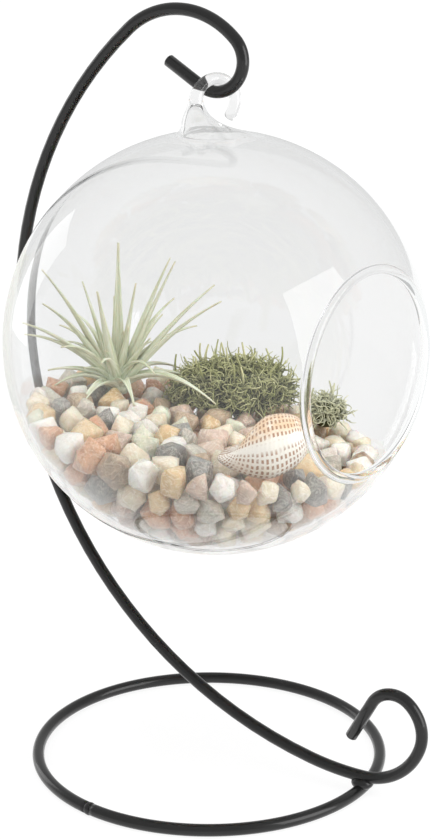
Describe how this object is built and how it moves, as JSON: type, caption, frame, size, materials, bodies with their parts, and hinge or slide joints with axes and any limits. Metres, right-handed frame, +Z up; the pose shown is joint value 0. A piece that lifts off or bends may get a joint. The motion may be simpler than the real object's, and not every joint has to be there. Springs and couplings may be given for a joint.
{
  "type": "air plant holder",
  "caption": "Clear blown glass globe with a round side mouth and a glass hook, hung from a bent wire stand, holding tumbled stones, moss, a sea shell and an air plant.",
  "frame": {"origin": "centre of the base ring, on the surface that the stand rests on", "axes": "+Z up; +X in the plane of the bent wire, towards its scroll and the globe's mouth; +Y completes a right-handed frame"},
  "size_m": [0.1377, 0.1198, 0.2222],
  "materials": {
    "stand_wire": "satin black powder coat on steel wire",
    "clear_glass": "clear, blown, glossy",
    "stone_quartz": "tumbled, milky white",
    "stone_cream": "tumbled, cream",
    "stone_amber": "tumbled, honey yellow",
    "stone_rust": "tumbled, orange brown",
    "stone_brown": "tumbled, brown",
    "stone_grey": "tumbled, grey",
    "stone_slate": "tumbled, dark grey",
    "stone_jade": "tumbled, pale green",
    "stone_rose": "tumbled, dusky pink",
    "shell": "polished white shell with rows of tan dashes",
    "moss": "curly dark green moss",
    "leaf": "silvery green leaf"
  },
  "bodies": {
    "stand": {"base_ring": "stand_wire", "seam_weld": "stand_wire", "stand_rod": "stand_wire", "foot_weld": "stand_wire"},
    "globe": {"globe_shell": "clear_glass", "glass_hook": "clear_glass", "pebbles_quartz": "stone_quartz", "pebbles_cream": "stone_cream", "pebbles_amber": "stone_amber", "pebbles_rust": "stone_rust", "pebbles_brown": "stone_brown", "pebbles_grey": "stone_grey", "pebbles_slate": "stone_slate", "pebbles_jade": "stone_jade", "pebbles_rose": "stone_rose"},
    "plant": {"air_plant": "leaf"},
    "shell": {"sea_shell": "shell"},
    "moss": {"moss_clump": "moss"},
    "tuft": {"moss_tuft": "moss"}
  },
  "joints": [
    {"name": "globe_swing", "type": "hinge", "parent": "stand", "child": "globe", "pos_m": [0.00226, 0, 0.19867], "axis": [1, 0, 0], "range_deg": [-30, 30]},
    {"name": "air_plant_lift", "type": "slide", "parent": "globe", "child": "plant", "axis": [0, 0, 1], "range_m": [0, 0.008]},
    {"name": "sea_shell_slide", "type": "slide", "parent": "globe", "child": "shell", "axis": [0.6364, 0.4941, 0.5923], "range_m": [0, 0.06]},
    {"name": "moss_lift", "type": "slide", "parent": "globe", "child": "moss", "axis": [0, 0, 1], "range_m": [0, 0.008]},
    {"name": "tuft_lift", "type": "slide", "parent": "globe", "child": "tuft", "axis": [0, 0, 1], "range_m": [0, 0.008]}
  ]
}
